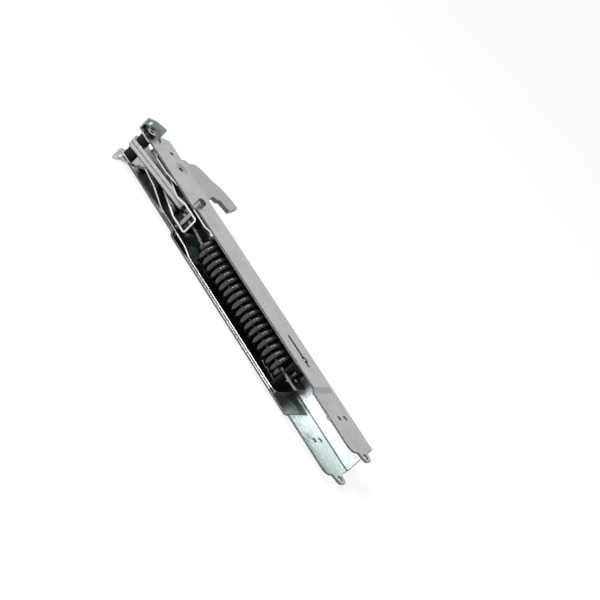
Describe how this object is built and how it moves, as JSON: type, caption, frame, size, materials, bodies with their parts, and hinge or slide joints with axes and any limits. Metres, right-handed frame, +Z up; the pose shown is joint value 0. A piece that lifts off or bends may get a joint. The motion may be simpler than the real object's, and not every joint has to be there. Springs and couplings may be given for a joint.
{
  "type": "oven door hinge",
  "caption": "Folded steel channel hinge for an oven door, with a sprung hook arm on a cross pin, a coil spring on a tie plate and a lock latch on the arm.",
  "frame": {"origin": "halfway between the two lug screw holes, on the lugs' outer face at the pivot end", "axes": "+X along the channel out of the pivot end, +Y from the channel's web to its open side, +Z up through the flanges, along the pivot pin"},
  "size_m": [0.3305, 0.0943, 0.047],
  "materials": {
    "zinc_sheet": "zinc plated, satin",
    "plate_steel": "zinc plated, matt, with sheared edges",
    "rivet_steel": "zinc plated, turned",
    "oiled_sheet": "oiled dark sheet, bright edges",
    "oiled_steel": "oiled, grey",
    "black_spring_steel": "black, oiled",
    "black_phosphate": "black, matt"
  },
  "bodies": {
    "channel": {"door_channel": "zinc_sheet", "spring_carrier": "oiled_sheet", "carrier_rivet_upper": "rivet_steel", "carrier_rivet_lower": "rivet_steel", "pivot_pin": "rivet_steel", "pivot_spacer_upper": "black_phosphate", "pivot_spacer_lower": "black_phosphate", "coil_spring": "black_spring_steel"},
    "arm": {"hook_arm": "plate_steel", "arm_side_plate": "plate_steel", "arm_rivet_outer": "rivet_steel", "arm_rivet_inner": "rivet_steel", "link_pin": "rivet_steel", "latch_rivet": "rivet_steel"},
    "lock_latch": {"latch": "zinc_sheet"},
    "tie": {"fork": "oiled_sheet", "fork_pin": "rivet_steel", "tie_plate": "oiled_steel", "spring_seat": "black_phosphate", "seat_pin": "rivet_steel"}
  },
  "joints": [
    {"name": "arm_swing", "type": "hinge", "parent": "channel", "child": "arm", "pos_m": [-0.0075, 0, 0], "axis": [0, 0, 1], "range_deg": [0, 90], "stiffness_Nm_per_rad": 3, "springref_deg": -20.05},
    {"name": "latch_flip", "type": "hinge", "parent": "arm", "child": "lock_latch", "pos_m": [-0.0595, -0.0293, 0], "axis": [0, 0, 1], "range_deg": [0, 90]},
    {"name": "tie_slide", "type": "slide", "parent": "channel", "child": "tie", "axis": [1, 0, 0], "range_m": [0, 0.0219], "deforming": ["coil_spring"]}
  ],
  "couplings": [
    {"joint": "tie_slide", "follows": "arm_swing", "m_per_rad": 0.013936}
  ]
}
